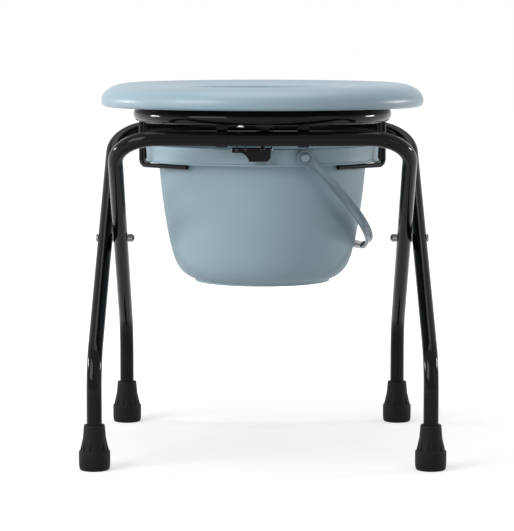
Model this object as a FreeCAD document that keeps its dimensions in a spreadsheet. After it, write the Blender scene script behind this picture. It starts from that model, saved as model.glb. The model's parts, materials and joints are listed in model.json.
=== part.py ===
"""Folding commode stool: two crossed tube frames, a hoop that flips up, a seat ring, and a lift-out bucket.

Millimetres. X is across the stool, -Y is the front, +Z is up. The origin is on the floor, under the leg pivot.
"""
import FreeCAD, Part
import math
import os
import re

import Sketcher
from FreeCAD import Placement, Rotation, Vector

DOC = FreeCAD.newDocument("commode_stool")

# ---------------------------------------------------------------- sizes
DRIVING = [
    ("tube_dia", 19.0, "outside of every frame tube"),
    ("tube_wall", 1.2, "wall of every frame tube"),
    ("rail_spread", 352.0, "front rail to rear rail, axis to axis"),
    ("rail_height", 411.0, "floor to rail axis"),
    ("pivot_height", 273.5, "floor to leg pivot"),
    ("bend_height", 131.0, "floor to the bend above each foot"),
    ("inner_half", 185.8, "middle plane to the inner leg axis, at the pivot"),
    ("frame_gap", 1.0, "between the two frames' tubes at the pivot"),
    ("leg_flare", 0.0215, "outward lean of a leg, per unit of height"),
    ("top_bend", 52.0, "bend radius at the rail corners"),
    ("foot_bend", 70.0, "bend radius above the feet"),
    ("pin_dia", 6.0, "leg pivot pin"),
    ("pin_play", 0.08, "radial play of a running pin"),
    ("hoop_half", 157.5, "hoop half width, to the tube axis"),
    ("hoop_run", 22.5, "half of the hoop's straight sides"),
    ("hoop_lift", 6.5, "rail top to hoop underside"),
    ("seat_width", 417.0, "seat ring, across"),
    ("seat_run", 15.0, "half of the seat ring's straight sides"),
    ("seat_hole", 220.0, "hole in the seat, across"),
    ("seat_rise", 31.0, "seat ring thickness at its crest"),
    ("seat_wall", 3.0, "seat ring wall"),
    ("foot_dia", 39.0, "rubber foot at the floor"),
    ("foot_height", 57.0, "rubber foot"),
    ("foot_band", 24.0, "height of the foot's wide band"),
    ("foot_sole", 8.0, "rubber under the tube end"),
    ("wire_dia", 6.0, "bucket rail wire"),
    ("rim_radius", 152.0, "bucket rim, outside"),
    ("rim_height", 22.5, "bucket rim skirt"),
    ("rim_gap", 4.0, "front and rear rails to the bucket's top"),
    ("rim_step", 16.5, "bucket rim, outwards from the body under it"),
    ("base_radius", 88.0, "bucket foot ring"),
    ("bucket_height", 179.0, "bucket, rim to foot ring"),
    ("bucket_wall", 2.5, "bucket wall"),
    ("bail_turn", 19.7, "the bail's axis, turned from front to back, degrees"),
    ("bail_drop", 43.0, "the bail's rest angle under level, degrees"),
    ("bail_run", 27.0, "straight stretch of the bail, past its ears"),
    ("bail_width", 12.0, "bail strap, across its face"),
    ("bail_thick", 4.0, "bail strap, thickness"),
    ("bail_gap", 2.5, "bucket rim to the bail's inner face"),
    ("ear_radius", 10.5, "ears of the bail"),
    ("ear_pin_dia", 6.0, "pins of the bail"),
    ("flap_left", 38.0, "middle plane to the flap's left end"),
    ("flap_right", 9.7, "middle plane to the flap's right edge"),
    ("flap_drop", 15.5, "flap pin to the flap's lower edge"),
    ("flap_thick", 2.0, "flap and bracket plate"),
    ("flap_back", 16.0, "rail axis to the flap pin, towards the bucket"),
    ("flap_under", 4.2, "rail underside to the flap pin"),
    ("flap_pin_dia", 2.4, "flap pin"),
    ("finger", 1.5, "bracket finger, across"),
    ("clip_width", 14.0, "hinge clip and rear rest, across"),
    ("clip_wall", 1.6, "hinge clip"),
    ("clip_place", 50.0, "middle plane to each clip and rest"),
    ("screw_dia", 4.8, "seat screws"),
    ("snug", 0.3, "between pieces that touch but aren't joined"),
]
DERIVED = [
    ("outer_half", "inner_half + tube_dia + frame_gap"),
    ("tube_rad", "tube_dia / 2"),
    ("rail_y", "rail_spread / 2"),
    ("slope", "rail_y / (rail_height - pivot_height)"),
    ("foot_y", "slope * (pivot_height - bend_height)"),
    ("hoop_z", "rail_height + tube_dia + hoop_lift"),
    ("seat_z", "hoop_z + tube_rad"),
    ("rim_top", "rail_height - tube_rad - rim_gap"),
    ("rim_bottom", "rim_top - rim_height"),
    ("bucket_bottom", "rim_top - bucket_height"),
    ("wire_z", "rim_bottom - snug - wire_dia / 2"),
    ("bail_radius", "rim_radius + bail_gap + bail_thick / 2"),
    ("ear_z", "rim_top - rim_height / 2"),
    ("flap_y", "-rail_y + flap_back"),
    ("flap_z", "rail_height - tube_rad - flap_under"),
    ("wire_x", "rim_radius - bucket_wall"),
    ("drop_y", "46 * hoop_half / 157.5"),
    ("drop_x", "sqrt(hoop_half^2 - (drop_y - hoop_run)^2)"),
]
SHEET = DOC.addObject("Spreadsheet::Sheet", "sizes")
for row, (name, value, note) in enumerate(DRIVING, start=1):
    SHEET.set(f"A{row}", name)
    SHEET.set(f"B{row}", str(value))
    SHEET.setAlias(f"B{row}", name)
    SHEET.set(f"C{row}", note)
DOC.recompute()
for row, (name, formula) in enumerate(DERIVED, start=len(DRIVING) + 1):
    SHEET.set(f"A{row}", name)
    SHEET.set(f"B{row}", "=" + formula)
    SHEET.setAlias(f"B{row}", name)
DOC.recompute()

NAMES = {name for name, *_ in DRIVING + DERIVED}


def linked(text):
    """An expression that reads the sheet: each size's name becomes its cell."""
    return re.sub(r"[a-z][a-z_]*[a-z]", lambda word: f"sizes.{word[0]}" if word[0] in NAMES else word[0], text)


def number(text):
    """What an expression on the sizes comes to."""
    return float(SHEET.evalExpression(linked(text)))


def bind(thing, prop, text):
    thing.setExpression(prop, linked(text))


def place(thing, x="0", y="0", z="0"):
    """Binds where an object stands."""
    for axis, text in zip("xyz", (x, y, z)):
        bind(thing, f".Placement.Base.{axis}", text)


def turn(thing, axis, degrees="0"):
    """Binds how an object is turned about one axis."""
    thing.Placement.Rotation = Rotation(Vector(*axis), 90)
    bind(thing, ".Placement.Rotation.Angle", degrees)


# ---------------------------------------------------------------- sketches and bodies
def new_body(label):
    body = DOC.addObject("PartDesign::Body", label)
    body.Label = label
    return body


def new_sketch(body, role, name, lift=None):
    """A sketch on one of the body's own planes, raised along its normal by an expression."""
    sketch = body.newObject("Sketcher::SketchObject", name)
    plane = [item for item in body.Origin.OriginFeatures if item.Role == role][0]
    sketch.AttachmentSupport = [(plane, "")]
    sketch.MapMode = "FlatFace"
    if lift:
        bind(sketch, ".AttachmentOffset.Base.z", lift)
    return sketch


def pin_point(sketch, geometry, end, x, y):
    """Fixes a point of the sketch at two expressions."""
    for kind, text in (("DistanceX", x), ("DistanceY", y)):
        index = sketch.addConstraint(Sketcher.Constraint(kind, -1, 1, geometry, end, number(text)))
        bind(sketch, f"Constraints[{index}]", text)


def outline(sketch, corners):
    """A closed loop. Each corner is (x, y) or (x, y, radius): an arc of that radius to the next corner.

    A positive radius bulges to the right of the way round, a negative one to the left.
    """
    count = len(corners)
    points = [Vector(number(corner[0]), number(corner[1]), 0) for corner in corners]
    for index, corner in enumerate(corners):
        start, end = points[index], points[(index + 1) % count]
        if len(corner) == 2:
            sketch.addGeometry(Part.LineSegment(start, end))
        else:
            radius = number(corner[2])
            half = (end - start).Length / 2
            left = Vector(start.y - end.y, end.x - start.x, 0).normalize() * math.copysign(1, radius)
            centre = (start + end) / 2 + left * math.sqrt(max(radius * radius - half * half, 0))
            ring = Part.Circle(centre, Vector(0, 0, 1), abs(radius))
            turns = [math.atan2(point.y - centre.y, point.x - centre.x) for point in (start, end)]
            if radius < 0:
                turns.reverse()
            sketch.addGeometry(Part.ArcOfCircle(ring, *turns))
    for index, corner in enumerate(corners):
        first = 2 if corner[2:] and corner[2].startswith("-") else 1
        pin_point(sketch, index, first, corner[0], corner[1])
        after = corners[(index + 1) % count]
        pin_point(sketch, index, 3 - first, after[0], after[1])
        if len(corner) == 3:
            text = corner[2].lstrip("-")
            fixed = sketch.addConstraint(Sketcher.Constraint("Radius", index, number(text)))
            bind(sketch, f"Constraints[{fixed}]", text)
    return sketch


def circle(sketch, radius, x="0", y="0"):
    index = sketch.addGeometry(Part.Circle(Vector(number(x), number(y), 0), Vector(0, 0, 1), number(radius)))
    pin_point(sketch, index, 3, x, y)
    fixed = sketch.addConstraint(Sketcher.Constraint("Radius", index, number(radius)))
    bind(sketch, f"Constraints[{fixed}]", radius)


def spin(body, sketch, name="turned", cut=False):
    """Turns a sketch about its own upright axis."""
    feature = body.newObject("PartDesign::Groove" if cut else "PartDesign::Revolution", name)
    feature.Profile = sketch
    feature.ReferenceAxis = (sketch, ["V_Axis"])
    feature.Angle = 360
    return feature


def pad(body, sketch, length, name="pad", midplane=False, backwards=False):
    feature = body.newObject("PartDesign::Pad", name)
    feature.Profile = sketch
    bind(feature, "Length", length)
    feature.Midplane = midplane
    feature.Reversed = backwards
    return feature


def pocket(body, sketch, length, name="pocket", backwards=False, midplane=False):
    feature = body.newObject("PartDesign::Pocket", name)
    feature.Profile = sketch
    bind(feature, "Length", length)
    feature.Midplane = midplane
    feature.Reversed = backwards
    return feature


def turned(label, corners):
    """A body that is one outline (radius, height) turned about Z."""
    body = new_body(label)
    spin(body, outline(new_sketch(body, "XZ_Plane", label + "_half"), corners), label + "_turned")
    return body


# ---------------------------------------------------------------- bent tubes and wires
def bent_path(points, radii):
    """Straight runs joined by tangent arcs, one radius for each inner point."""
    edges, last = [], points[0]
    for before, corner, after, radius in zip(points, points[1:], points[2:], radii):
        way_in = (corner - before).normalize()
        way_out = (after - corner).normalize()
        half = math.acos(max(-1, min(1, way_in.dot(way_out)))) / 2
        reach = radius * math.tan(half)
        start, end = corner - way_in * reach, corner + way_out * reach
        inward = (way_out - way_in).normalize()
        middle = corner + inward * (radius / math.cos(half) - radius)
        edges += [Part.LineSegment(last, start).toShape(), Part.Arc(start, middle, end).toShape()]
        last = end
    edges.append(Part.LineSegment(last, points[-1]).toShape())
    return Part.Wire(edges)


def rod(points, radii, outside, bore=0.0):
    """A round rod along a bent path, or a tube where it has a bore."""
    path = bent_path(points, radii)
    heading = (points[1] - points[0]).normalize()
    rings = [Part.Wire(Part.Circle(points[0], heading, outside).toShape())]
    solid = path.makePipeShell(rings, True, False)
    if bore:
        solid = solid.cut(path.makePipeShell([Part.Wire(Part.Circle(points[0], heading, bore).toShape())], True, False))
    return solid


def feature(label, shape):
    """A sub-part whose centreline leaves every plane, so no sketch can carry it."""
    piece = DOC.addObject("Part::Feature", label)
    piece.Label = label
    piece.Shape = shape
    return piece


TUBE_RAD = number("tube_rad")
BORE_RAD = TUBE_RAD - number("tube_wall")
PIVOT_Z = number("pivot_height")
FLARE = number("leg_flare")


def frame_tube(half, front, foot_lift):
    """One inverted U: a rail at the front (-1) or rear (1), two crossing legs, and upright ends in the feet."""
    rail_z, bend_z = number("rail_height"), number("bend_height")
    rail_y, foot_y = front * number("rail_y"), -front * number("foot_y")
    top_x = half - FLARE * (rail_z - PIVOT_Z)
    foot_x = half + FLARE * (PIVOT_Z - bend_z)
    one_side = [Vector(foot_x, foot_y, foot_lift), Vector(foot_x, foot_y, bend_z), Vector(top_x, rail_y, rail_z)]
    other_side = [Vector(-point.x, point.y, point.z) for point in reversed(one_side)]
    bends = [number("foot_bend"), number("top_bend"), number("top_bend"), number("foot_bend")]
    tube = rod(one_side + other_side, bends, TUBE_RAD, BORE_RAD)
    hole_rad = number("pin_dia / 2 + pin_play")
    reach = half + number("tube_dia")
    return tube.cut(Part.makeCylinder(hole_rad, 2 * reach, Vector(-reach, 0, PIVOT_Z), Vector(1, 0, 0)))


TUBE_END = number("foot_sole") + 1.8
feature("outer_frame", frame_tube(number("outer_half"), 1, TUBE_END))
feature("inner_frame", frame_tube(number("inner_half"), -1, TUBE_END))


# ---------------------------------------------------------------- leg pivots
def side_body(label, side, at, corners):
    """A turned piece whose axis lies across the stool at the pivot, growing outwards from `at`."""
    body = turned(label, corners)
    turn(body, (0, 1, 0), f"{90 * side}")
    place(body, x=f"{side} * ({at})", z="pivot_height")
    return body


PIN_REACH = "outer_half - inner_half + tube_dia + 7.7"
for side, word in ((-1, "left"), (1, "right")):
    # rivet head outside, shank through both tubes
    side_body("pivot_pin_" + word, side, "inner_half - tube_rad - 7.5", [
        ("0", "0"), ("pin_dia / 2", "0"), ("pin_dia / 2", PIN_REACH), ("pin_dia * 0.95", PIN_REACH),
        ("pin_dia * 0.75", PIN_REACH + " + 2.2"), ("0", PIN_REACH + " + 2.6")])
    # domed nut inside, drawn over the pin's end
    side_body("pivot_nut_" + word, side, "inner_half - tube_rad - 9", [
        ("0", "0"), ("pin_dia * 0.5", "0.6"), ("pin_dia * 0.85", "3"), ("pin_dia * 0.85", "8.7"),
        ("pin_dia / 2 + 0.05", "8.7"), ("pin_dia / 2 + 0.05", "1.4"), ("0", "1.4")])
    # thin washer between the two tubes
    side_body("pivot_washer_" + word, side, "inner_half + tube_rad + 0.2", [
        ("pin_dia / 2 + pin_play", "0"), ("pin_dia * 1.1", "0"),
        ("pin_dia * 1.1", "frame_gap - 0.4"), ("pin_dia / 2 + pin_play", "frame_gap - 0.4")])

# ---------------------------------------------------------------- feet
FOOT = [
    ("0", "0"), ("foot_dia / 2 - 2", "0"), ("foot_dia / 2", "2.5"), ("foot_dia / 2", "foot_band - 1.5"),
    ("foot_dia / 2 - 1.5", "foot_band"), ("foot_dia * 0.45", "foot_band + 1"),
    ("tube_rad + 4.8", "foot_height - 1.5"), ("tube_rad + 3.5", "foot_height"), ("tube_rad + 0.1", "foot_height"),
    ("tube_rad + 0.1", "foot_sole"), ("0", "foot_sole")]
WASHER = [("3", "foot_sole"), ("tube_rad", "foot_sole"), ("tube_rad", "foot_sole + 1.7"), ("3", "foot_sole + 1.7")]
for end, y, half in (("front", "-foot_y", "outer_half"), ("rear", "foot_y", "inner_half")):
    for side, word in ((-1, "left"), (1, "right")):
        x = f"{side} * ({half} + leg_flare * (pivot_height - bend_height))"
        place(turned(f"{end}_foot_{word}", FOOT), x=x, y=y)
        place(turned(f"{end}_foot_washer_{word}", WASHER), x=x, y=y)

# ---------------------------------------------------------------- hoop
def stadium(sketch, half, run):
    """A rounded loop: two half circles of radius `half`, joined by straight sides of twice `run`."""
    return outline(sketch, [
        (half, f"-({run})"), (half, run, half), ("0", f"({run}) + ({half})", half), (f"-({half})", run),
        (f"-({half})", f"-({run})", half), ("0", f"-({run}) - ({half})", half)])


hoop = new_body("hoop")
hoop_path = stadium(new_sketch(hoop, "XY_Plane", "hoop_path"), "hoop_half", "hoop_run")
hoop_ring = new_sketch(hoop, "XZ_Plane", "hoop_ring")
circle(hoop_ring, "tube_rad", x="hoop_half")
circle(hoop_ring, "tube_rad - tube_wall", x="hoop_half")
hoop_tube = hoop.newObject("PartDesign::AdditivePipe", "hoop_tube")
hoop_tube.Profile = hoop_ring
hoop_tube.Spine = (hoop_path, [])
DOC.recompute()
SCREWS = [("-27", "-hoop_run - sqrt(hoop_half^2 - 729)"), ("27", "hoop_run + sqrt(hoop_half^2 - 729)"),
          ("hoop_half", "0"), ("-hoop_half", "0")]
hoop_holes = new_sketch(hoop, "XY_Plane", "hoop_holes")
for x, y in SCREWS:
    circle(hoop_holes, "screw_dia / 2 + pin_play", x=x, y=y)
pocket(hoop, hoop_holes, "tube_dia * 2", "hoop_holes_cut", midplane=True)
place(hoop, z="hoop_z")

# ---------------------------------------------------------------- seat ring: a top shell closed by a base plate
OUT = "seat_width / 2"
IN = "seat_hole / 2"
SHELL = [
    (OUT + " - 13", "0"), (OUT + " - 9", "0", "9.3"), (OUT, "9.5", "17"),
    (OUT + " - 11", "seat_rise - 6", "40"), (OUT + " - 34", "seat_rise", "90"),
    (OUT + " - 62", "seat_rise - 3", "-150"), (IN + " + 11", "seat_rise - 8", "12"), (IN, "seat_rise - 19"),
    (IN + " + 1", "0"), (IN + " + 1 + seat_wall", "0"),
    (IN + " + seat_wall + 1", "seat_rise - 18"), (IN + " + 12", "seat_rise - 8 - seat_wall"),
    (OUT + " - 62", "seat_rise - 3 - seat_wall"), (OUT + " - 34", "seat_rise - seat_wall"),
    (OUT + " - 13", "seat_rise - 6 - seat_wall"), (OUT + " - seat_wall", "9.5"), (OUT + " - 9", "seat_wall"),
    (OUT + " - 13", "seat_wall")]


def ring_body(label, corners):
    """An outline (radius, height) carried once round the seat's rounded loop."""
    body = new_body(label)
    path = stadium(new_sketch(body, "XY_Plane", label + "_path"), OUT, "seat_run")
    section = outline(new_sketch(body, "XZ_Plane", label + "_section"), corners)
    pipe = body.newObject("PartDesign::AdditivePipe", label + "_ring")
    pipe.Profile = section
    pipe.Spine = (path, [])
    place(body, z="seat_z")
    return body


seat_shell = ring_body("seat_shell", SHELL)
seat_base = ring_body("seat_base", [
    (IN + " + 1.2 + seat_wall", "0"), (OUT + " - 13.3", "0"), (OUT + " - 13.3", "seat_wall"),
    (IN + " + 1.2 + seat_wall", "seat_wall")])
DOC.recompute()
base_holes = new_sketch(seat_base, "XY_Plane", "base_holes")
for x, y in SCREWS:
    circle(base_holes, "screw_dia / 2 + 0.05", x=x, y=y)
pocket(seat_base, base_holes, "seat_wall * 4", "base_holes_cut", midplane=True)

# ---------------------------------------------------------------- primitives and booleans
def box(name, size, at):
    """A block of three lengths with one corner at three places."""
    block = DOC.addObject("Part::Box", name)
    for prop, text in zip(("Length", "Width", "Height"), size):
        bind(block, prop, text)
    place(block, *at)
    return block


def bar(name, radius, length, at):
    """A cylinder that runs along X from its place."""
    rod_x = DOC.addObject("Part::Cylinder", name)
    bind(rod_x, "Radius", radius)
    bind(rod_x, "Height", length)
    rod_x.Placement.Rotation = Rotation(Vector(0, 1, 0), 90)
    place(rod_x, *at)
    return rod_x


def joined(label, *pieces):
    whole = DOC.addObject("Part::MultiFuse", label)
    whole.Label = label
    whole.Shapes = list(pieces)
    return whole


def less(label, base, tool):
    rest = DOC.addObject("Part::Cut", label)
    rest.Label = label
    rest.Base = base
    rest.Tool = tool
    return rest


def hoop_end(name, side):
    """The hoop's half circle as a solid, to seat a welded piece against its underside."""
    ring = DOC.addObject("Part::Torus", name)
    bind(ring, "Radius1", "hoop_half")
    bind(ring, "Radius2", "tube_rad")
    place(ring, y=f"{side} * hoop_run", z="hoop_z")
    return ring


HOOP_FRONT = hoop_end("hoop_front_half", -1)
HOOP_REAR = hoop_end("hoop_rear_half", 1)

# ---------------------------------------------------------------- clips round the front rail, rests on the rear rail
EDGE_Y = "(hoop_run + sqrt(hoop_half^2 - clip_place^2))"
for side, word in ((-1, "left"), (1, "right")):
    start = f"{side} * clip_place - clip_width / 2"
    ring = bar("clip_ring_" + word, "tube_rad + 0.1 + clip_wall", "clip_width", (start, "-rail_y", "rail_height"))
    outer = f"max({EDGE_Y} + 5; rail_y)"
    neck = box("clip_neck_" + word,
               ("clip_width", f"{outer} - min({EDGE_Y} - 4; rail_y)", "hoop_z - rail_height - tube_rad - 0.3"),
               (start, f"-{outer}", "rail_height + tube_rad + 0.3"))
    bore = bar("clip_bore_" + word, "tube_rad + 0.1", "clip_width + 2", (start + " - 1", "-rail_y", "rail_height"))
    solid = less("clip_solid_" + word, joined("clip_block_" + word, ring, neck), bore)
    less("hinge_clip_" + word, solid, HOOP_FRONT)
    pad_start = f"min({EDGE_Y}; rail_y) - 7"
    pad_block = box("rest_pad_" + word,
                    ("clip_width", f"max(rail_y + tube_rad + 3.5; {EDGE_Y} + 3) - ({pad_start})", "8"),
                    (start, pad_start, "rail_height + tube_rad + snug"))
    lip = box("rest_lip_" + word, ("clip_width", "3.2", "tube_dia"),
              (start, "rail_y + tube_rad + snug", "rail_height - tube_rad + 3"))
    less("rear_rest_" + word, joined("rest_block_" + word, pad_block, lip), HOOP_REAR)

# ---------------------------------------------------------------- bucket rails: bent wire hung from the hoop
WIRE_RAD = number("wire_dia / 2")


def bucket_rail(side):
    """Front drop and bar, with the runner and the rear drop joined on."""
    drop_x, drop_y, runner_x = side * number("drop_x"), number("drop_y"), side * number("wire_x")
    low, high = number("wire_z"), number("hoop_z")
    bar_end = Vector(side * number("0.626 * rim_radius"), -number("0.691 * rim_radius"), low)
    front = [Vector(drop_x, -drop_y, high), Vector(drop_x, -drop_y, low), bar_end]
    share = (drop_x - runner_x) / (drop_x - bar_end.x)
    joint = front[1] + (bar_end - front[1]) * share
    jog = abs(drop_x - runner_x)
    rear = [Vector(runner_x, joint.y, low), Vector(runner_x, drop_y - jog, low), Vector(drop_x, drop_y, low),
            Vector(drop_x, drop_y, high)]
    wire = rod(front, [8], WIRE_RAD).fuse(rod(rear, [2.5, 5.5], 0.99 * WIRE_RAD))
    for end in (-1, 1):
        centre = Vector(0, end * number("hoop_run"), high)
        wire = wire.cut(Part.makeTorus(number("hoop_half"), TUBE_RAD, centre))
    return wire


for side, word in ((-1, "left"), (1, "right")):
    feature("bucket_rail_" + word, bucket_rail(side))

# ---------------------------------------------------------------- seat screws, from under the hoop
SCREW = [("0", "-3"), ("screw_dia * 0.7", "-3"), ("screw_dia * 0.94", "-1.6"), ("screw_dia * 0.94", "-0.05"),
         ("screw_dia / 2", "-0.05"), ("screw_dia / 2", "tube_dia + seat_wall + 3.5"),
         ("0", "tube_dia + seat_wall + 5.5")]
for word, (x, y) in zip(("front", "rear", "right", "left"), SCREWS):
    place(turned("seat_screw_" + word, SCREW), x=x, y=y, z="hoop_z - tube_rad")

# ---------------------------------------------------------------- bucket
B = "base_radius"
R = "(rim_radius - rim_step)"
STEP = "(bucket_height - rim_height)"
W = "bucket_wall"
bucket = new_body("bucket")
spin(bucket, outline(new_sketch(bucket, "XZ_Plane", "bucket_half"), [
    ("0", "4"), (B + " - 4", "4"), (B + " - 4", "0"), (B, "0"), (B, "4", "34"),
    (R + " - 19.5", "26.5", "60"), (R + " - 11", "52.5"), (R, STEP), ("rim_radius", STEP),
    ("rim_radius", "bucket_height - 1.2", "1.3"), ("rim_radius - " + W, "bucket_height - 1.2"),
    ("rim_radius - " + W, STEP + " + " + W), (R + " - " + W, STEP + " + " + W),
    (R + " - 11 - " + W, "52.5"), (R + " - 19.5 - " + W, "27.5"), (B, "4 + " + W), ("0", "4 + " + W)]),
    "bucket_turned")
DOC.recompute()
ear_holes = new_sketch(bucket, "YZ_Plane", "ear_holes")
circle(ear_holes, "ear_pin_dia / 2 + 0.02", y="bucket_height - rim_height / 2")
pocket(bucket, ear_holes, "rim_radius * 2 + 10", "ear_holes_cut", midplane=True)
turn(bucket, (0, 0, 1), "bail_turn - 90")
place(bucket, z="bucket_bottom")

# ---------------------------------------------------------------- bail pins and bail
PIN_BACK = "rim_radius - bucket_wall - 1.7"
PIN_END = f"bail_radius + bail_thick / 2 + snug - ({PIN_BACK})"
EAR_PIN = [
    ("0", "0"), ("ear_pin_dia * 0.75", "0"), ("ear_pin_dia * 0.75", "1.5"), ("ear_pin_dia / 2", "1.5"),
    ("ear_pin_dia / 2", PIN_END), ("ear_pin_dia * 0.8", PIN_END), ("ear_pin_dia * 0.62", PIN_END + " + 2"),
    ("0", PIN_END + " + 2.3")]


def aimed(thing, along, yaw, roll="0", pitch="0"):
    """Binds the whole placement: a distance along the bail's axis from the bucket's centre, and a turn."""
    text = (f"placement(vector(({along}) * cos(bail_turn - 90); ({along}) * sin(bail_turn - 90); ear_z);"
            f" rotation({yaw}; {pitch}; {roll}))")
    bind(thing, ".Placement", text)


for side, word in ((1, "front"), (-1, "rear")):
    aimed(turned("bail_pin_" + word, EAR_PIN), f"{side} * ({PIN_BACK})", "bail_turn - 90", pitch=f"{side} * 90")

FAR = "bail_radius + bail_thick / 2"
NEAR = "bail_radius - bail_thick / 2"
bail = new_body("bail")
pad(bail, outline(new_sketch(bail, "XY_Plane", "band"), [
    (FAR, "0"), (FAR, "bail_run", FAR), ("0", "bail_run + " + FAR, FAR), (f"-({FAR})", "bail_run"),
    (f"-({FAR})", "0"), (f"-({NEAR})", "0"), (f"-({NEAR})", "bail_run", f"-({NEAR})"),
    ("0", "bail_run + " + NEAR, f"-({NEAR})"), (NEAR, "bail_run"), (NEAR, "0")]),
    "bail_width", "band_pad", midplane=True)
OVER = "bail_radius + bail_thick / 2 + 2"
UNDER = "bail_radius - bail_thick / 2 - 1.2"
GRIP = "8"
pad(bail, outline(new_sketch(bail, "XY_Plane", "grip"), [
    (f"({OVER}) * sin({GRIP})", f"bail_run + ({OVER}) * cos({GRIP})", OVER),
    (f"-({OVER}) * sin({GRIP})", f"bail_run + ({OVER}) * cos({GRIP})"),
    (f"-({UNDER}) * sin({GRIP})", f"bail_run + ({UNDER}) * cos({GRIP})", f"-({UNDER})"),
    (f"({UNDER}) * sin({GRIP})", f"bail_run + ({UNDER}) * cos({GRIP})")]),
    "bail_width + 4", "grip_pad", midplane=True)
for side, word in ((1, "near"), (-1, "far")):
    ear = new_sketch(bail, "YZ_Plane", "ear_" + word, lift=f"{side} * bail_radius")
    circle(ear, "ear_radius")
    pad(bail, ear, "bail_thick", f"ear_{word}_pad", midplane=True)
DOC.recompute()
bail_holes = new_sketch(bail, "YZ_Plane", "bail_holes")
circle(bail_holes, "ear_pin_dia / 2 + pin_play")
pocket(bail, bail_holes, "rim_radius * 2 + 40", "bail_holes_cut", midplane=True)
aimed(bail, "0", "bail_turn - 90", roll="-bail_drop")

# ---------------------------------------------------------------- bracket under the hoop, with the bucket stop flap
FINGERS = [("-32.5", "finger"), ("-21", "finger"), ("0", "5"), ("flap_right + 0.25 + finger / 2", "finger")]
TOP = "(hoop_z - tube_rad - flap_z)"
plate = [("-3", TOP), ("-3", "12"), ("-32.5 - finger / 2", "12")]
for x, width in FINGERS:
    plate += [(f"{x} - {width} / 2", "6"), (f"{x} - {width} / 2", "0"), (f"{x} + {width} / 2", "0"),
              (f"{x} + {width} / 2", "6")]
plate.pop(3)
plate.pop(-1)
plate += [("flap_right + 0.25 + finger", "12"), ("8", "12"), ("8", TOP)]
bracket = new_body("bracket_blank")
pad(bracket, outline(new_sketch(bracket, "XZ_Plane", "bracket_plate"), plate), "flap_thick", midplane=True)
for count, (x, width) in enumerate(FINGERS):
    eye = new_sketch(bracket, "YZ_Plane", f"eye_{count}", lift=x)
    circle(eye, "flap_pin_dia")
    pad(bracket, eye, width, f"eye_{count}_pad", midplane=True)
flange = new_sketch(bracket, "XY_Plane", "flange", lift=TOP + " - 2")
outline(flange, [("-8", "-26"), ("13", "-26"), ("13", "flap_thick / 2"), ("-8", "flap_thick / 2")])
pad(bracket, flange, "3.5", "flange_pad")
DOC.recompute()
eye_hole = new_sketch(bracket, "YZ_Plane", "eye_hole")
circle(eye_hole, "flap_pin_dia / 2 + 0.02")
pocket(bracket, eye_hole, "200", "eye_hole_cut", midplane=True)
place(bracket, y="flap_y", z="flap_z")
less("bucket_stop_bracket", bracket, HOOP_FRONT)

flap = new_body("stop_flap")
pad(flap, outline(new_sketch(flap, "XZ_Plane", "flap_plate"), [
    ("-flap_left", "0"), ("-flap_left", "-4.5"), ("-27", "-4.5", "-14"), ("-17", "-flap_drop"),
    ("flap_right - 6.5", "-flap_drop", "6.5"), ("flap_right", "-flap_drop + 6.5"), ("flap_right", "0")]),
    "flap_thick", "flap_pad", midplane=True)
barrel = new_sketch(flap, "YZ_Plane", "flap_barrel", lift="-flap_left")
circle(barrel, "flap_pin_dia / 2 + 0.8")
pad(flap, barrel, "flap_left + flap_right", "flap_barrel_pad")
DOC.recompute()
for count, (x, width) in enumerate(FINGERS[:3]):
    gap = new_sketch(flap, "XZ_Plane", f"gap_{count}")
    outline(gap, [(f"{x} - {width} / 2 - 0.25", "5"), (f"{x} - {width} / 2 - 0.25", "-flap_pin_dia - 0.3"),
                  (f"{x} + {width} / 2 + 0.25", "-flap_pin_dia - 0.3"), (f"{x} + {width} / 2 + 0.25", "5")])
    pocket(flap, gap, "20", f"gap_{count}_cut", midplane=True)
flap_hole = new_sketch(flap, "YZ_Plane", "flap_hole")
circle(flap_hole, "flap_pin_dia / 2 + pin_play")
pocket(flap, flap_hole, "200", "flap_hole_cut", midplane=True)
place(flap, y="flap_y", z="flap_z")

FLAP_PIN_LONG = "flap_left + flap_right + finger + 1.2"
flap_pin = turned("flap_pin", [
    ("0", "0"), ("flap_pin_dia * 0.7", "0"), ("flap_pin_dia * 0.7", "0.5"), ("flap_pin_dia / 2", "0.5"),
    ("flap_pin_dia / 2", FLAP_PIN_LONG), ("flap_pin_dia * 0.7", FLAP_PIN_LONG),
    ("flap_pin_dia * 0.7", FLAP_PIN_LONG + " + 0.6"), ("0", FLAP_PIN_LONG + " + 0.6")])
turn(flap_pin, (0, 1, 0), "90")
place(flap_pin, x="-flap_left - 0.7", y="flap_y", z="flap_z")

# ---------------------------------------------------------------- checks, then the files
DOC.recompute()
SIDES = [name + side for name in ("pivot_pin", "pivot_nut", "pivot_washer", "front_foot", "front_foot_washer",
                                  "rear_foot", "rear_foot_washer", "hinge_clip", "rear_rest", "bucket_rail",
                                  "seat_screw") for side in ("_left", "_right")]
NODES = ["outer_frame", "inner_frame", "hoop", "seat_shell", "seat_base", "bucket", "bail", "bail_pin_front",
         "bail_pin_rear", "stop_flap", "flap_pin", "bucket_stop_bracket", "seat_screw_front", "seat_screw_rear"]
for thing in DOC.Objects:
    if "Invalid" in thing.State or "Error" in thing.State:
        raise RuntimeError(f"{thing.Label} did not build: {thing.State}")
    if thing.TypeId == "PartDesign::Pocket" and thing.Shape.Volume > thing.BaseFeature.Shape.Volume - 1e-3:
        raise RuntimeError(f"{thing.Label} cuts nothing")
os.makedirs("parts", exist_ok=True)
for label in NODES + SIDES:
    piece = DOC.getObjectsByLabel(label)[0]
    shape = piece.Shape
    if shape.isNull() or not shape.isValid() or len(shape.Solids) != 1:
        raise RuntimeError(f"{label} is not one valid solid: {len(shape.Solids)}")
    shape.exportStep(f"parts/{label}.step")
print("wrote", len(NODES + SIDES), "parts")
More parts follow.
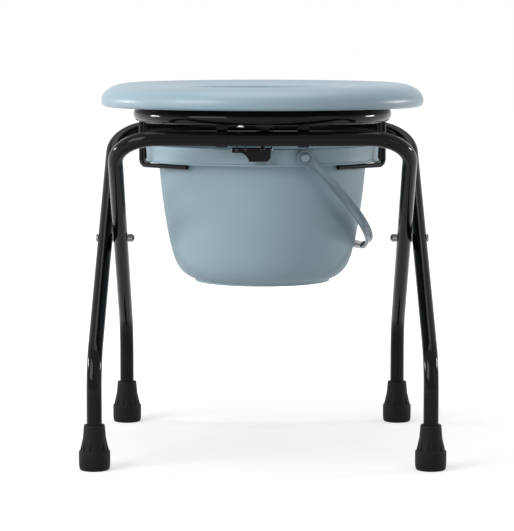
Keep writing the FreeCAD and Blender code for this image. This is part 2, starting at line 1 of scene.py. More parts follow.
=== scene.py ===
# %% [markdown]
# # A folding commode stool
# Two bent tube frames cross like scissors. A hoop of the same tube carries a hollow plastic
# seat ring, and two wire rails under the hoop carry a bucket by its wide rim.
# The CAD frame comes first, because every piece made here goes where that model says.

# %% Load the frame
import bpy
import bmesh
import json
import math
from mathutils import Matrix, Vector


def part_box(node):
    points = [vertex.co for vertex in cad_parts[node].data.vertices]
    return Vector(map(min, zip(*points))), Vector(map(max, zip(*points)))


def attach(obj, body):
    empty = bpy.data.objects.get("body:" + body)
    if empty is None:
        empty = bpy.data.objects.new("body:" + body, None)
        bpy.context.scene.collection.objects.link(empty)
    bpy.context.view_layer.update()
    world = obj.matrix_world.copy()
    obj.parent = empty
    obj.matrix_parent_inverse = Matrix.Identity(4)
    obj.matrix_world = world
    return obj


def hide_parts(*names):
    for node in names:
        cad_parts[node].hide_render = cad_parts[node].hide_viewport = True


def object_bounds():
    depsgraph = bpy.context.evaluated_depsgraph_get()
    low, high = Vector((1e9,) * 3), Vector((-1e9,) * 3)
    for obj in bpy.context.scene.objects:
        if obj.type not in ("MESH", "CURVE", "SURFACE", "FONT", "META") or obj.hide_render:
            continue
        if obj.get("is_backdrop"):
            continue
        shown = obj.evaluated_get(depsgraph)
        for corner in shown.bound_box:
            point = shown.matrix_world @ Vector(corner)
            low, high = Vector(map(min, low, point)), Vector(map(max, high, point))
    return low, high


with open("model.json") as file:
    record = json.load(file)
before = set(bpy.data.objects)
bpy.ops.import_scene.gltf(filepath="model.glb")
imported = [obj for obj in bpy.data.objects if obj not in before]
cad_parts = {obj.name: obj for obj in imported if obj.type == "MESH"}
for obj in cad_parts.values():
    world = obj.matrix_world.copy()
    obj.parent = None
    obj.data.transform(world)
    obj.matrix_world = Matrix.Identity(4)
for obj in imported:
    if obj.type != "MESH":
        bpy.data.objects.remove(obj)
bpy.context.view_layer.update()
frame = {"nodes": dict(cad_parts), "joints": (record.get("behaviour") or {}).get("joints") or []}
nodes = frame["nodes"]

# %% [markdown]
# ## Camera
# A long lens from three metres keeps the tubes nearly parallel, and the camera stands just
# above the seat, so that the top of the ring shows as a thin band.

# %% Camera
CAMERA_PLACE = (-0.007, -3.0, 0.5333)
LOOKS_DOWN = math.radians(5.641)
FOCAL_LENGTH = 160.87
SENSOR_WIDTH = 36.0

lens = bpy.data.cameras.new("studio_camera")
lens.sensor_fit = "HORIZONTAL"
lens.sensor_width = SENSOR_WIDTH
lens.lens = FOCAL_LENGTH
lens.clip_end = 50
camera = bpy.data.objects.new("studio_camera", lens)
camera.location = CAMERA_PLACE
camera.rotation_euler = (math.radians(90) - LOOKS_DOWN, 0, 0)
bpy.context.collection.objects.link(camera)
bpy.context.scene.camera = camera
print("camera", tuple(camera.location), "lens", lens.lens)

# %% [markdown]
# ## Lights
# Gloss black tube is seen by what it mirrors, so two low lamps at the sides set a short bright
# streak on each end of the hoop and thin ones down the legs. A wide box overhead lights the top
# of the seat. The big key, on the left and above, shapes the bucket, which falls off in tone to
# the right, and a weak fill keeps that side from going too dark.

# %% Lights
scene = bpy.context.scene
scene.view_settings.view_transform = "Standard"


def soft_box(name, place, aim_height, size, watts):
    """A rectangular lamp that faces the stool's own axis at this height."""
    data = bpy.data.lights.new(name, "AREA")
    data.shape = "RECTANGLE"
    data.size, data.size_y = size
    data.energy = watts
    lamp = bpy.data.objects.new(name, data)
    lamp.location = place
    way = Vector((0, 0, aim_height)) - Vector(place)
    lamp.rotation_euler = way.to_track_quat("-Z", "Y").to_euler()
    bpy.context.collection.objects.link(lamp)


soft_box("overhead", (0, 0, 2.3), aim_height=0.40, size=(1.6, 1.6), watts=19)
soft_box("key_left", (-1.8, -1.6, 1.30), aim_height=0.34, size=(1.6, 1.3), watts=44)
soft_box("fill_right", (1.9, -1.4, 0.72), aim_height=0.36, size=(1.0, 0.9), watts=3)
soft_box("edge_left", (-2.2, 0.63, 0.58), aim_height=0.43, size=(0.50, 0.15), watts=13)
soft_box("edge_right", (2.2, 0.63, 0.58), aim_height=0.43, size=(0.50, 0.15), watts=13)

# %% [markdown]
# ## World
# The backdrop is white to the camera, and to glossy and clear surfaces, which show what is
# behind them. All other light from the world is weaker, so the plastic keeps its own colour.

# %% World
WHITE = (1, 1, 1, 1)
FALLING_LIGHT = 0.26
BACKDROP = 1.0


def node_of(tree, kind, place=(0, 0), **values):
    """Adds a shader node, and sets its inputs by name and its own properties."""
    node = tree.nodes.new(kind)
    node.location = place
    for name, value in values.items():
        label = name.replace("_", " ")
        if label in node.inputs:
            node.inputs[label].default_value = value
        else:
            setattr(node, name, value)
    return node


def seen_directly(tree):
    """A socket that is 1 for camera, glossy and transmission rays, and 0 for falling light."""
    rays = node_of(tree, "ShaderNodeLightPath")
    total = rays.outputs["Is Camera Ray"]
    for kind in ("Is Glossy Ray", "Is Transmission Ray"):
        add = node_of(tree, "ShaderNodeMath", operation="ADD", use_clamp=True)
        tree.links.new(total, add.inputs[0])
        tree.links.new(rays.outputs[kind], add.inputs[1])
        total = add.outputs[0]
    return total


world = bpy.data.worlds.new("studio")
scene.world = world
world.use_nodes = True
tree = world.node_tree
tree.nodes.clear()
sky = node_of(tree, "ShaderNodeBackground", Color=WHITE, Strength=FALLING_LIGHT)
white = node_of(tree, "ShaderNodeBackground", Color=WHITE, Strength=BACKDROP)
pick = node_of(tree, "ShaderNodeMixShader")
out = node_of(tree, "ShaderNodeOutputWorld")
tree.links.new(seen_directly(tree), pick.inputs[0])
tree.links.new(sky.outputs[0], pick.inputs[1])
tree.links.new(white.outputs[0], pick.inputs[2])
tree.links.new(pick.outputs[0], out.inputs[0])
print("world light", FALLING_LIGHT, "backdrop", BACKDROP)

# %% [markdown]
# ## Floor
# The floor is plain and white to the camera. Part of that white is its own glow and part is
# the light it catches, so the feet still leave a small soft shadow on it. The glow grows with
# the distance from the stool, where the lamps reach less, so that no edge shows far away.

# %% Floor
FLOOR_TONE = (0.62, 0.62, 0.62, 1)
GLOW_NEAR, GLOW_FAR = 0.52, 1.0
FADE_STARTS, FADE_ENDS = 0.35, 1.1
FLOOR_REACH, FLOOR_BEHIND = 9, 14

floor_paint = bpy.data.materials.new("white_floor")
floor_paint.use_nodes = True
tree = floor_paint.node_tree
tree.nodes.clear()
paint = node_of(tree, "ShaderNodeBsdfDiffuse", Color=FLOOR_TONE)
spot = node_of(tree, "ShaderNodeTexCoord")
away = node_of(tree, "ShaderNodeVectorMath", operation="LENGTH")
fade = node_of(tree, "ShaderNodeMapRange",
               From_Min=FADE_STARTS, From_Max=FADE_ENDS, To_Min=GLOW_NEAR, To_Max=GLOW_FAR)
glow = node_of(tree, "ShaderNodeEmission", Color=WHITE)
both = node_of(tree, "ShaderNodeAddShader")
pick = node_of(tree, "ShaderNodeMixShader")
out = node_of(tree, "ShaderNodeOutputMaterial")
tree.links.new(spot.outputs["Object"], away.inputs[0])
tree.links.new(away.outputs["Value"], fade.inputs["Value"])
tree.links.new(fade.outputs[0], glow.inputs["Strength"])
tree.links.new(paint.outputs[0], both.inputs[0])
tree.links.new(glow.outputs[0], both.inputs[1])
tree.links.new(seen_directly(tree), pick.inputs[0])
tree.links.new(paint.outputs[0], pick.inputs[1])
tree.links.new(both.outputs[0], pick.inputs[2])
tree.links.new(pick.outputs[0], out.inputs[0])
floor_mesh = bpy.data.meshes.new("floor")
corners = [(-FLOOR_REACH, -FLOOR_REACH, 0), (FLOOR_REACH, -FLOOR_REACH, 0),
           (FLOOR_REACH, FLOOR_BEHIND, 0), (-FLOOR_REACH, FLOOR_BEHIND, 0)]
floor_mesh.from_pydata(corners, [], [(0, 1, 2, 3)])
floor = bpy.data.objects.new("floor", floor_mesh)
floor_mesh.materials.append(floor_paint)
bpy.context.collection.objects.link(floor)
floor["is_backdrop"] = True
print("floor", tuple(floor.dimensions))

# %% [markdown]
# ## Finishes
# Every finish is built from the same few nodes on Object coordinates: a large soft noise that
# varies colour and roughness a little, and a fine one that becomes bump. The sizes and amounts
# are what make one read as moulded plastic and another as enamel or rubber.

# %% Finishes
RAMP_FROM, RAMP_TO = 0.3, 0.7
SMOOTHER, ROUGHER = 0.9, 1.12


def finish(name, colour, rough, grain, bump, spread=0.04, blotch=9.0, metal=0.0, specular=0.5):
    """A procedural finish.

    `grain` is the fine noise per metre and `bump` its depth in metres. `blotch` is the large
    noise per metre, and `spread` how far it shifts the colour to each side.
    """
    material = bpy.data.materials.new(name)
    material.use_nodes = True
    tree = material.node_tree
    tree.nodes.clear()
    place = node_of(tree, "ShaderNodeTexCoord", (-1100, 0))
    large = node_of(tree, "ShaderNodeTexNoise", (-900, 200), Scale=blotch, Detail=3.0)
    fine = node_of(tree, "ShaderNodeTexNoise", (-900, -200), Scale=grain, Detail=2.0)
    tone = node_of(tree, "ShaderNodeValToRGB", (-650, 200))
    steps = ((RAMP_FROM, 1 - spread), (RAMP_TO, 1 + spread))
    for element, (position, share) in zip(tone.color_ramp.elements, steps):
        element.position = position
        element.color = [channel * share for channel in colour] + [1]
    gloss = node_of(tree, "ShaderNodeMapRange", (-650, -50),
                    To_Min=rough * SMOOTHER, To_Max=rough * ROUGHER)
    relief = node_of(tree, "ShaderNodeBump", (-400, -250), Strength=1.0, Distance=bump)
    body = node_of(tree, "ShaderNodeBsdfPrincipled", (-100, 0),
                   Metallic=metal, Specular_IOR_Level=specular)
    out = node_of(tree, "ShaderNodeOutputMaterial", (200, 0))
    for noise in (large, fine):
        tree.links.new(place.outputs["Object"], noise.inputs["Vector"])
    tree.links.new(large.outputs[0], tone.inputs[0])
    tree.links.new(large.outputs[0], gloss.inputs[0])
    tree.links.new(fine.outputs[0], relief.inputs["Height"])
    tree.links.new(tone.outputs[0], body.inputs["Base Color"])
    tree.links.new(gloss.outputs[0], body.inputs["Roughness"])
    tree.links.new(relief.outputs[0], body.inputs["Normal"])
    tree.links.new(body.outputs[0], out.inputs[0])
    return material


seat_plastic = finish("seat_plastic", (0.285, 0.395, 0.465), 0.36, 1400, 0.00003, spread=0.025)
bucket_plastic = finish("bucket_plastic", (0.280, 0.390, 0.448), 0.52, 1600, 0.00003, spread=0.03)
bail_plastic = finish("bail_plastic", (0.165, 0.235, 0.285), 0.33, 1600, 0.00003, spread=0.03)
black_enamel = finish("black_enamel", (0.0030, 0.0029, 0.0028), 0.09, 420, 0.00001, specular=0.13)
satin_enamel = finish("satin_enamel", (0.0060, 0.0060, 0.0064), 0.32, 700, 0.00005, specular=0.16)
foot_rubber = finish("foot_rubber", (0.0060, 0.0060, 0.0067), 0.60, 900, 0.00014,
                     spread=0.18, blotch=60, specular=0.14)
dark_steel = finish("dark_steel", (0.20, 0.20, 0.21), 0.26, 900, 0.00002, metal=1.0)
bright_steel = finish("bright_steel", (0.60, 0.61, 0.62), 0.24, 900, 0.00002, metal=1.0)
polished_grip = finish("polished_grip", (0.16, 0.17, 0.18), 0.12, 500, 0.00002, metal=1.0)
flap_plastic = finish("flap_plastic", (0.0045, 0.0045, 0.0047), 0.42, 900, 0.00006,
                      spread=0.1, specular=0.12)
print("finishes", [material.name for material in bpy.data.materials])

# %% [markdown]
# ## Which piece wears what
# Each CAD node takes the first finish in the list with a beginning that matches its name. So the
# longer beginnings come first, such as bucket_rail before bucket.

# %% Which piece wears what
WORN_BY = [
    (("inner_frame", "outer_frame", "hoop", "hinge_clip", "rear_rest"), black_enamel),
    (("bucket_rail", "bucket_stop"), satin_enamel),
    (("seat_screw", "flap_pin"), bright_steel),
    (("pivot", "front_foot_washer", "rear_foot_washer"), dark_steel),
    (("front_foot", "rear_foot"), foot_rubber),
    (("seat_shell", "seat_base"), seat_plastic),
    (("bucket", "bail_pin"), bucket_plastic),
    (("bail",), bail_plastic),
    (("stop_flap",), flap_plastic),
]


def wear(node, material):
    """Gives a CAD node its finish."""
    shown = nodes[node]
    if not shown.data.materials:
        shown.data.materials.append(material)
    for slot in shown.material_slots:
        slot.material = material


for name in nodes:
    wear(name, next(material for beginnings, material in WORN_BY if name.startswith(beginnings)))
print("finishes on", len(nodes), "nodes")

# %% [markdown]
# ## Making a skin from rows of points
# The seat, the bucket, the bail and the feet are each one outline carried along a way: round a
# rounded loop, round an axis, or along a hoop. So one helper joins rows of points with faces,
# and each piece only has to say where its points are.

# %% Skin helpers
SAME_POINT = 1e-6


def skin(name, rows, around=True, looped=False, caps=False):
    """Joins rows of points. `around` closes each row, `looped` joins the last row to the first."""
    count = len(rows[0])
    points = [tuple(p) for row in rows for p in row]
    faces = []
    for i in range(len(rows) if looped else len(rows) - 1):
        here, there = i * count, (i + 1) % len(rows) * count
        for j in range(count if around else count - 1):
            k = (j + 1) % count
            faces.append((here + j, here + k, there + k, there + j))
    if caps:
        last = (len(rows) - 1) * count
        faces += [tuple(range(count)), tuple(last + j for j in reversed(range(count)))]
    mesh = bpy.data.meshes.new(name)
    mesh.from_pydata(points, [], faces)
    work = bmesh.new()
    work.from_mesh(mesh)
    bmesh.ops.remove_doubles(work, verts=work.verts, dist=SAME_POINT)
    bmesh.ops.recalc_face_normals(work, faces=work.faces)
    work.to_mesh(mesh)
    work.free()
    return mesh


def turned(outline, count, centre, axis=(0, 0, 1)):
    """Rows for an outline of (out, up) pairs, turned about an axis through this centre."""
    axis = Vector(axis).normalized()
    one = Vector((1, 0, 0)) if axis.z == 1 else axis.orthogonal().normalized()
    two = axis.cross(one)
    rows = []
    for k in range(count):
        turn = 2 * math.pi * k / count
        out = one * math.cos(turn) + two * math.sin(turn)
        rows.append([Vector(centre) + axis * up + out * radius for radius, up in outline])
    return rows


def curve_through(points, steps):
    """Smooth points along a run of (a, b) pairs, with this many steps from each pair to the next."""
    smooth = []
    for i in range(len(points) - 1):
        p1, p2 = Vector(points[i]), Vector(points[i + 1])
        p0 = Vector(points[i - 1]) if i else p1
        p3 = Vector(points[i + 2]) if i + 2 < len(points) else p2
        for k in range(steps):
            t = k / steps
            smooth.append(0.5 * ((2 * p1) + (p2 - p0) * t + (2 * p0 - 5 * p1 + 4 * p2 - p3) * t * t
                                 + (3 * p1 - p0 - 3 * p2 + p3) * t ** 3))
    smooth.append(Vector(points[-1]))
    return smooth


# %% Putting a skin in the scene
def show(name, mesh, material, body, *stands_for):
    """Puts a finished mesh in the scene, smooth, on its body, in place of CAD nodes if it has any."""
    for face in mesh.polygons:
        face.use_smooth = True
    mesh.materials.append(material)
    piece = bpy.data.objects.new(name, mesh)
    bpy.context.collection.objects.link(piece)
    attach(piece, body)
    if stands_for:
        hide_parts(*stands_for)
    print(name, len(mesh.polygons), "faces")
    return piece


def joined(name, meshes):
    """One mesh out of several."""
    whole = bmesh.new()
    for mesh in meshes:
        whole.from_mesh(mesh)
    made = bpy.data.meshes.new(name)
    whole.to_mesh(made)
    whole.free()
    return made


# %% [markdown]
# ## Seat ring
# The real ring is one hollow moulding, fat at its outer edge, dished towards the hole, and closed
# underneath. A faint ridge runs where the top meets the roll. A subdivided cube would need its
# edges pinned, so the outline is drawn once, in distance from a short line down the middle, and
# carried round that line: that gives straight sides and round ends, as the hoop under it has.
# The ring gets a little thinner towards the front, so that its rear stands higher.

# %% Seat ring outline
HOLE = 0.110
PLATE_TOP = 0.0030

seat_low, seat_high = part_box("seat_shell")
half_width = (seat_high.x - seat_low.x) / 2
ring_length = seat_high.y - seat_low.y
run = ring_length / 2 - half_width
base, rise = seat_low.z, seat_high.z - seat_low.z
# The outer roll is given as (in from the edge, up from the bottom).
ROLL = [(0.0130, 0.0004), (0.0090, 0.0000), (0.0048, 0.0006), (0.0018, 0.0028), (0.0002, 0.0078),
        (0.0010, 0.0140), (0.0046, 0.0202), (0.0104, 0.0252), (0.0180, 0.0286), (0.0250, 0.0303)]
# The dished top is given as (in from the edge, down from the crest).
DISH = [(0.0300, 0.0001), (0.0345, 0.0002), (0.0400, 0.0012), (0.0540, 0.0032), (0.0700, 0.0048)]
# The lip is given as (out from the hole, down from the crest), and its wall as (out from the hole,
# up from the bottom). The wall leans away from the hole under the lip.
LIP = [(0.0130, 0.0056), (0.0042, 0.0062), (0.0006, 0.0078), (0.0010, 0.0110)]
WALL = [(0.0020, 0.0040), (0.0028, 0.0004), (0.0040, 0.0004)]
outline = [(half_width - a, b) for a, b in ROLL]
outline += [(half_width - a, rise - b) for a, b in DISH]
outline += [(HOLE + a, rise - b) for a, b in LIP]
outline += [(HOLE + a, b) for a, b in WALL]
section = curve_through(outline, 3)
section += [Vector((HOLE + 0.0042, PLATE_TOP)), Vector((half_width - 0.0132, PLATE_TOP))]
print("ring outline", len(section), "points")

# %% Seat ring
FRONT_THINNER = 0.10
AROUND = 144


def ways_round():
    """Each row's direction (x, y) out of the middle line, and where on that line it starts.

    A straight side has four rows, from front to rear on the right and back again on the left.
    """
    ways = []
    for k in range(AROUND):
        x, y = math.cos(math.pi * 2 * k / AROUND), math.sin(math.pi * 2 * k / AROUND)
        if abs(y) > 1e-9:
            ways.append((x, y, math.copysign(run, y)))
        else:
            ways += [(x, 0, start) for start in (-run, -run / 3, run / 3, run)[::round(x)]]
    return ways


def ring_point(x, y, height):
    """A point of the ring, which gets a little thinner from its rear to its front."""
    return x, y, base + height * (1 - FRONT_THINNER * (0.5 - y / ring_length))


rows = [[ring_point(x * out, y * out + start, height) for out, height in section]
        for x, y, start in ways_round()]
seat = show("seat_ring", skin("seat_ring", rows, looped=True), seat_plastic, "seat", "seat_shell")

# %% [markdown]
# ## Bucket
# The bucket is a thin moulding with a wide plain rim band, a small bead where the band ends, a
# body that narrows downwards, a big soft corner and a low foot ring. It is an outline turned
# about its axis: outside, over the lip and back down the inside, so that its wall has thickness.

# %% Bucket outline
RIM_STEP = 0.0165
RIM_HEIGHT = 0.0225
BUCKET_WALL = 0.0025
FLOOR_TOP, FLOOR_UNDER = 0.0066, 0.0041

pail_low, pail_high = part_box("bucket")
rim = (pail_high.x - pail_low.x) / 2
body = rim - RIM_STEP
inner = body - BUCKET_WALL
tall = pail_high.z - pail_low.z
step = tall - RIM_HEIGHT
shelf = step + BUCKET_WALL
outside = curve_through([
    (0.0880, 0.0000), (0.0882, 0.0020), (0.0900, 0.0036), (0.0964, 0.0062), (0.1038, 0.0115),
    (0.1100, 0.0190), (0.1144, 0.0280), (0.1181, 0.0400), (0.1220, 0.0560), (0.1260, 0.0780),
    (0.1297, 0.1030), (0.1325, 0.1270), (body - 0.0008, step - 0.0060), (body, step + 0.0003)], 4)
# The bead and the band are given as (in from the rim, up from the step).
BAND = [(0.0022, 0.0003), (0.0006, 0.0004), (0.0000, 0.0012), (0.0002, 0.0024), (0.0012, 0.0032),
        (0.0014, 0.0040), (0.0010, 0.0120)]
# The rolled lip is given as (in from the rim, down from the top).
ROLLED_LIP = [(0.0006, 0.0040), (0.0002, 0.0022), (0.0002, 0.0012), (0.0008, 0.0003),
              (0.0018, 0.0000), (0.0030, 0.0002), (0.0038, 0.0012)]
band = [(rim - a, step + b) for a, b in BAND] + [(rim - a, tall - b) for a, b in ROLLED_LIP]
inside = curve_through([
    (rim - 0.0040, tall - 0.0060), (rim - 0.0040, shelf + 0.0030), (rim - 0.0060, shelf + 0.0004),
    (inner - 0.0006, shelf - 0.0002), (inner - 0.0012, step - 0.0020), (0.1300, 0.1270),
    (0.1235, 0.0780), (0.1156, 0.0400), (0.1118, 0.0290), (0.1071, 0.0205), (0.1019, 0.0140),
    (0.0945, 0.0090), (0.0880, 0.0072), (0.0800, FLOOR_TOP), (0.0400, FLOOR_TOP),
    (0.0010, FLOOR_TOP)], 3)
under = [(0.0010, FLOOR_UNDER), (0.0600, FLOOR_UNDER), (0.0838, FLOOR_UNDER), (0.0842, 0.0010),
         (0.0850, 0.0000), (0.0866, 0.0000)]
profile = [(0.0, FLOOR_TOP)] + inside[::-1] + band[::-1]
profile += outside[::-1] + under[::-1] + [(0.0, FLOOR_UNDER)]
print("bucket outline", len(profile), "points")

# %% Bucket
rows = turned(profile, 160, (0, 0, pail_low.z))
bucket = show("pail", skin("pail", rows, around=False, looped=True), bucket_plastic, "bucket", "bucket")

# %% [markdown]
# ## Bail
# The handle is a flat strap moulded with a raised edge along both sides. It is widest at its two
# round ears, narrows just past them, and narrows again where the grip sits at the far end of the
# hoop. Its section is scaled along the way, and its ends stop short of the pins, inside the ears.

# %% Where the bail hangs
HANGS_DOWN = math.radians(43.0)
ARM_PAST_RIM = 0.0045
STRAIGHT = 0.027

swing = [j for j in frame["joints"] if j["name"] == "bail_swing"][0]
hinge = Vector(swing["pos_m"])
along = Vector(swing["axis"]).normalized()
level = Vector((-along.y, along.x, 0))
reach = level * math.cos(HANGS_DOWN) - Vector((0, 0, math.sin(HANGS_DOWN)))
face = level * math.sin(HANGS_DOWN) + Vector((0, 0, math.cos(HANGS_DOWN)))
arm = rim + ARM_PAST_RIM
total = STRAIGHT * 2 + math.pi * arm
print("bail from ear to ear", round(total, 4))


def on_bail(way):
    """The strap's middle this far from the first ear, and the direction out of the hoop there."""
    if way < STRAIGHT:
        return along * arm + reach * way, along
    if way > total - STRAIGHT:
        return -along * arm + reach * (total - way), -along
    turn = (way - STRAIGHT) / arm
    out = along * math.cos(turn) + reach * math.sin(turn)
    return reach * STRAIGHT + out * arm, out


# %% Bail strap
STRAP_STEPS = 120
PIN_ROOM = 0.0048
STRAP_WIDTH, STRAP_THICK, RAISED_EDGE = 0.0118, 0.0036, 0.0010
ROOT_WIDER, ROOT_LONG = 0.0050, 0.022
WAIST_NARROWER, WAIST_AT, WAIST_LONG = 0.0026, 0.034, 0.016
GRIP_NARROWER, GRIP_HALF = 0.0022, 0.030


def strap_width(way):
    """The strap's width: wide at the ears, narrow at the waist past them and under the grip."""
    near = min(way, total - way)
    root = max(0.0, 1 - near / ROOT_LONG)
    waist = math.exp(-((near - WAIST_AT) / WAIST_LONG) ** 2)
    grip = min(1.0, 3 * max(0.0, 1 - abs(way - total / 2) / GRIP_HALF))
    return STRAP_WIDTH + ROOT_WIDER * root - WAIST_NARROWER * waist - GRIP_NARROWER * grip


def strap_section(width, thick, edge):
    """A flat strap's outline, as (through, across), with a raised edge along both sides outside."""
    w, t = width / 2, thick / 2
    return [(-t, -w + 0.0006), (-t + 0.0006, -w), (t - 0.0004, -w), (t, -w + 0.0005),
            (t, -w + 0.0014), (t - edge, -w + 0.0024), (t - edge, 0), (t - edge, w - 0.0024),
            (t, w - 0.0014), (t, w - 0.0005), (t - 0.0004, w), (-t + 0.0006, w), (-t, w - 0.0006),
            (-t, w / 3), (-t, 0), (-t, -w / 3)]


rows = []
for k in range(STRAP_STEPS + 1):
    way = PIN_ROOM + (total - 2 * PIN_ROOM) * k / STRAP_STEPS
    place, out = on_bail(way)
    across = strap_section(strap_width(way), STRAP_THICK, RAISED_EDGE)
    rows.append([hinge + place + out * a + face * b for a, b in across])
strap = skin("strap", rows, caps=True)
print("strap", len(strap.polygons), "faces")

# %% [markdown]
# ## Ears and grip
# The two ears are rings with a hub, turned about the pins. At the far end of the hoop the strap
# carries a short polished sleeve to hold it by, a tube that follows the strap's own curve.

# %% Ears
EAR = [(0.0032, -0.0020), (0.0096, -0.0020), (0.0103, -0.0014), (0.0104, 0.0004), (0.0102, 0.0017),
       (0.0095, 0.0021), (0.0086, 0.0019), (0.0080, 0.0009), (0.0066, 0.0008), (0.0060, 0.0012),
       (0.0056, 0.0020), (0.0034, 0.0021)]

ears = []
for side in (1, -1):
    rows = turned(EAR, 48, hinge + along * arm * side, along * side)
    ears.append(skin("ear", rows, looped=True))
bail = show("bail_handle", joined("bail_handle", [strap] + ears), bail_plastic, "bail", "bail")

# %% Grip
GRIP_RADIUS, GRIP_WIDER = 0.0040, 1.45
END_NARROWER, END_SHARE = 0.0010, 0.06
GRIP_STEPS, GRIP_SIDES = 24, 32

rows = []
for k in range(GRIP_STEPS + 1):
    share = k / GRIP_STEPS * 2 - 1
    turn = math.pi / 2 + share * GRIP_HALF / arm
    out = along * math.cos(turn) + reach * math.sin(turn)
    radius = GRIP_RADIUS - END_NARROWER * max(0.0, (abs(share) - (1 - END_SHARE)) / END_SHARE)
    centre = hinge + reach * STRAIGHT + out * arm
    turns = [2 * math.pi * j / GRIP_SIDES for j in range(GRIP_SIDES)]
    rows.append([centre + (out * math.cos(t) + face * GRIP_WIDER * math.sin(t)) * radius
                 for t in turns])
grip = show("bail_grip", skin("bail_grip", rows, caps=True), polished_grip, "bail")

# %% [markdown]
# ## Rubber feet
# Each foot is a moulded cap: a tapered sleeve with a lip round the tube, and a thick band that
# stands on the floor. It is a turned outline, closed inside the sleeve, so that the hollow
# round the tube is there too.

# %% Rubber feet
FOOT = [(0.0, 0.0080), (0.0096, 0.0080), (0.0096, 0.0556), (0.0100, 0.0566), (0.0112, 0.0570),
        (0.0124, 0.0567), (0.0130, 0.0558), (0.0132, 0.0540), (0.0135, 0.0500), (0.0143, 0.0410),
        (0.0153, 0.0320), (0.0160, 0.0266), (0.0163, 0.0254), (0.0172, 0.0248), (0.0186, 0.0244),
        (0.0193, 0.0236), (0.0195, 0.0222), (0.0195, 0.0100), (0.0193, 0.0048), (0.0187, 0.0018),
        (0.0176, 0.0004), (0.0160, 0.0), (0.0120, 0.0), (0.0112, 0.0012), (0.0, 0.0012)]
FRAME_OF = {"front": "outer_frame", "rear": "inner_frame"}

foot_centres = {}
for end, frame_name in FRAME_OF.items():
    for side in ("left", "right"):
        low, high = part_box(f"{end}_foot_{side}")
        centre = Vector(((low.x + high.x) / 2, (low.y + high.y) / 2, 0))
        foot_centres[end, side] = centre
        rubber = skin("cap", turned(FOOT, 96, centre), around=False, looped=True)
        cap = show(f"{end}_cap_{side}", rubber, foot_rubber, frame_name, f"{end}_foot_{side}")

# %% [markdown]
# ## Fins on the feet
# Small upright fins stiffen each sleeve where it meets the band. They repeat round the foot,
# so one fin is modelled, and Geometry Nodes set copies of it in a circle round both feet of a
# frame. The number of fins and the two centres are inputs, so another foot needs no new mesh.

# %% One fin
FIN = [(0.0120, 0.0236), (0.0177, 0.0236), (0.0177, 0.0254), (0.0162, 0.0320), (0.0146, 0.0392),
       (0.0120, 0.0394)]
FIN_HALF_THICK = 0.00075
FIN_SOFTENED = 0.0003


def foot_fin():
    """A rounded wedge that stands out of the sleeve, at the origin and facing +X."""
    work = bmesh.new()
    left = [work.verts.new((x, -FIN_HALF_THICK, z)) for x, z in FIN]
    right = [work.verts.new((x, FIN_HALF_THICK, z)) for x, z in FIN]
    work.faces.new(left)
    work.faces.new(right[::-1])
    for i in range(len(FIN)):
        j = (i + 1) % len(FIN)
        work.faces.new((left[i], right[i], right[j], left[j]))
    bmesh.ops.recalc_face_normals(work, faces=work.faces)
    edges = list(work.edges)
    bmesh.ops.bevel(work, geom=edges, offset=FIN_SOFTENED, segments=2, affect="EDGES", profile=0.5)
    mesh = bpy.data.meshes.new("foot_fin")
    work.to_mesh(mesh)
    work.free()
    return mesh


fin = foot_fin()
print("fin", len(fin.polygons), "faces")

# %% Fins in a circle, by Geometry Nodes
FINS_PER_FOOT = 10


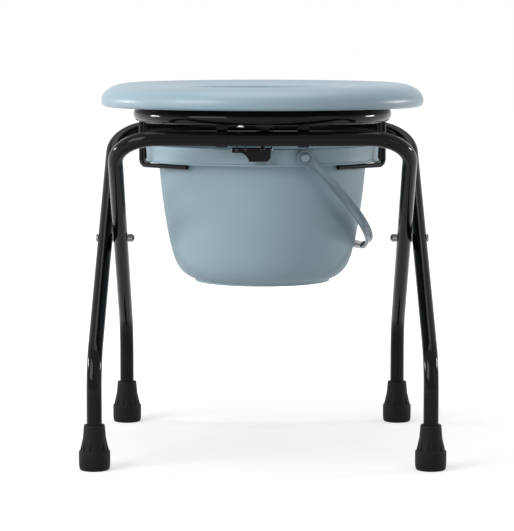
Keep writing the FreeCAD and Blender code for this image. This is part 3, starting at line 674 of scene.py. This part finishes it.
def fin_circle_tree():
    """Copies of the fin round two centres, made real, with the foot's rubber."""
    tree = bpy.data.node_groups.new("fin_circles", "GeometryNodeTree")
    sockets = tree.interface
    sockets.new_socket("Fin", in_out="INPUT", socket_type="NodeSocketGeometry")
    number = sockets.new_socket("Fins per foot", in_out="INPUT", socket_type="NodeSocketInt")
    number.default_value = FINS_PER_FOOT
    for side in ("Left centre", "Right centre"):
        sockets.new_socket(side, in_out="INPUT", socket_type="NodeSocketVector")
    sockets.new_socket("Fins", in_out="OUTPUT", socket_type="NodeSocketGeometry")
    start = node_of(tree, "NodeGroupInput", (-900, 0))
    index = node_of(tree, "GeometryNodeInputIndex", (-900, -300))
    part = node_of(tree, "ShaderNodeMath", (-700, -300), operation="DIVIDE")
    angle = node_of(tree, "ShaderNodeMath", (-550, -300), operation="MULTIPLY")
    angle.inputs[1].default_value = 2 * math.pi
    turn = node_of(tree, "ShaderNodeCombineXYZ", (-400, -300))
    tree.links.new(index.outputs[0], part.inputs[0])
    tree.links.new(start.outputs["Fins per foot"], part.inputs[1])
    tree.links.new(part.outputs[0], angle.inputs[0])
    tree.links.new(angle.outputs[0], turn.inputs["Z"])
    both = node_of(tree, "GeometryNodeJoinGeometry", (100, 0))
    for row, side in enumerate(("Left centre", "Right centre")):
        points = node_of(tree, "GeometryNodePoints", (-400, 200 * row))
        copies = node_of(tree, "GeometryNodeInstanceOnPoints", (-150, 200 * row))
        tree.links.new(start.outputs["Fins per foot"], points.inputs["Count"])
        tree.links.new(start.outputs[side], points.inputs["Position"])
        tree.links.new(points.outputs[0], copies.inputs["Points"])
        tree.links.new(start.outputs["Fin"], copies.inputs["Instance"])
        tree.links.new(turn.outputs[0], copies.inputs["Rotation"])
        tree.links.new(copies.outputs[0], both.inputs[0])
    real = node_of(tree, "GeometryNodeRealizeInstances", (300, 0))
    paint = node_of(tree, "GeometryNodeSetMaterial", (500, 0))
    paint.inputs["Material"].default_value = foot_rubber
    out = node_of(tree, "NodeGroupOutput", (700, 0))
    tree.links.new(both.outputs[0], real.inputs[0])
    tree.links.new(real.outputs[0], paint.inputs["Geometry"])
    tree.links.new(paint.outputs[0], out.inputs[0])
    return tree


fin_tree = fin_circle_tree()
print("fin tree", len(fin_tree.nodes), "nodes")


# %% Fins on both feet of each frame
def made_plain(name, mesh, tree, values):
    """The mesh that a node tree makes from this one, as a plain mesh with no modifier left."""
    source = bpy.data.objects.new(name + "_source", mesh)
    bpy.context.collection.objects.link(source)
    modifier = source.modifiers.new("nodes", "NODES")
    modifier.node_group = tree
    sockets = {item.name: item.identifier for item in tree.interface.items_tree if item.in_out == "INPUT"}
    for label, value in values.items():
        modifier[sockets[label]] = value
    bpy.context.view_layer.update()
    shown = source.evaluated_get(bpy.context.evaluated_depsgraph_get())
    made = bpy.data.meshes.new_from_object(shown)
    bpy.data.objects.remove(source)
    made.name = name
    return made


for end, frame_name in FRAME_OF.items():
    fins = made_plain(f"{end}_foot_fins", fin, fin_tree, {
        "Fins per foot": FINS_PER_FOOT,
        "Left centre": foot_centres[end, "left"],
        "Right centre": foot_centres[end, "right"]})
    fins.materials.clear()
    show(f"{end}_foot_fins", fins, foot_rubber, frame_name)

# %% [markdown]
# ## Size of the visual model
# The box round everything that renders, except the floor, is printed.

# %% Finish
low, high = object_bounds()
print("visual box", [round(v, 4) for v in low], [round(v, 4) for v in high])
